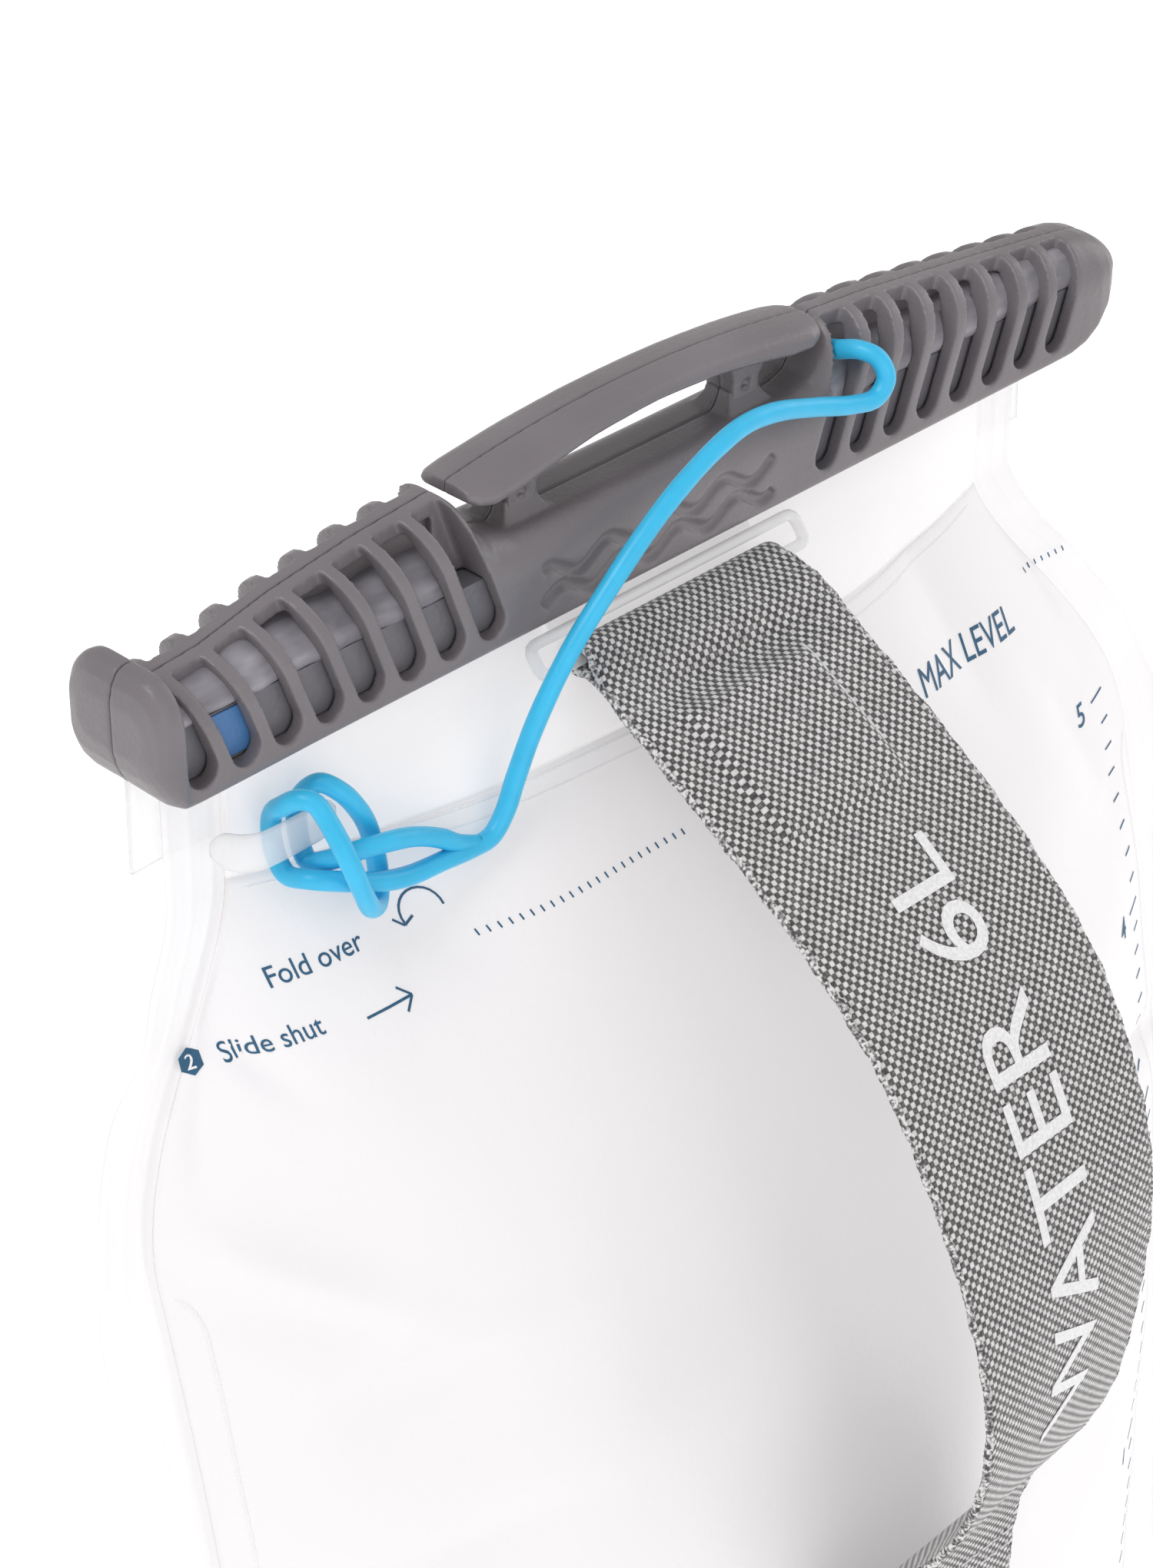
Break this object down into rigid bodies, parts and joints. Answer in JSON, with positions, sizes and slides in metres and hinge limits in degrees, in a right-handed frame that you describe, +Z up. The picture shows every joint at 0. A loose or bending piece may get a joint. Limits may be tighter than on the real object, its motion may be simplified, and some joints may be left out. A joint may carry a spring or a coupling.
{
  "type": "hydration bladder",
  "caption": "Soft translucent water bag with a slide-on mouth seal and carry handle, a webbing hand strap, a blue tether and a push-in outlet valve.",
  "frame": {"origin": "centre of the bounding box of the bag, on the plane it stands on", "axes": "+Z up from the base to the mouth, +X along the slider towards its open end, -Y to the front, where the strap is"},
  "size_m": [0.2506, 0.1327, 0.339],
  "materials": {
    "film": "frosted, translucent",
    "clear_film": "clear, glossy",
    "grey_plastic": "satin moulded",
    "dark_plastic": "satin moulded",
    "liner_plastic": "translucent satin",
    "blue_silicone": "smooth satin",
    "blue_plastic": "glossy",
    "webbing": "two-tone basket weave",
    "steel": "bright",
    "seal_rubber": "matte"
  },
  "bodies": {
    "bag": {"front_panel": "film", "back_panel": "film", "base_gusset": "film", "side_seam_left": "clear_film", "side_seam_right": "clear_film", "neck_front": "film", "neck_back": "film", "neck_seam_left": "clear_film", "neck_seam_right": "clear_film", "mouth_fold": "film", "mouth_stiffener": "liner_plastic", "mouth_flap": "film", "tether_tab": "clear_film", "strap": "webbing", "strap_ring_upper": "clear_film", "strap_ring_lower": "clear_film", "ring_patch_upper": "clear_film", "ring_patch_lower": "clear_film", "tether": "blue_silicone", "port_flange": "clear_film", "port_body": "dark_plastic", "port_seal": "seal_rubber", "valve_spring": "steel"},
    "slider": {"slider_front": "grey_plastic", "slider_back": "grey_plastic", "slider_liner": "liner_plastic", "handle": "grey_plastic", "handle_pin_left": "steel", "handle_pin_right": "steel", "tether_anchor": "blue_silicone"},
    "plunger": {"valve_plunger": "blue_plastic"},
    "button": {"release_button": "blue_plastic"}
  },
  "joints": [
    {"name": "slider_slide", "type": "slide", "parent": "bag", "child": "slider", "axis": [-1, 0, 0], "range_m": [0, 0.23], "deforming": ["tether"]},
    {"name": "valve_push", "type": "slide", "parent": "bag", "child": "plunger", "axis": [0, 1, 0], "range_m": [0, 0.0025], "stiffness_N_per_m": 300, "deforming": ["valve_spring"]},
    {"name": "button_push", "type": "slide", "parent": "bag", "child": "button", "axis": [0, 0, -1], "range_m": [0, 0.0015], "stiffness_N_per_m": 400}
  ]
}
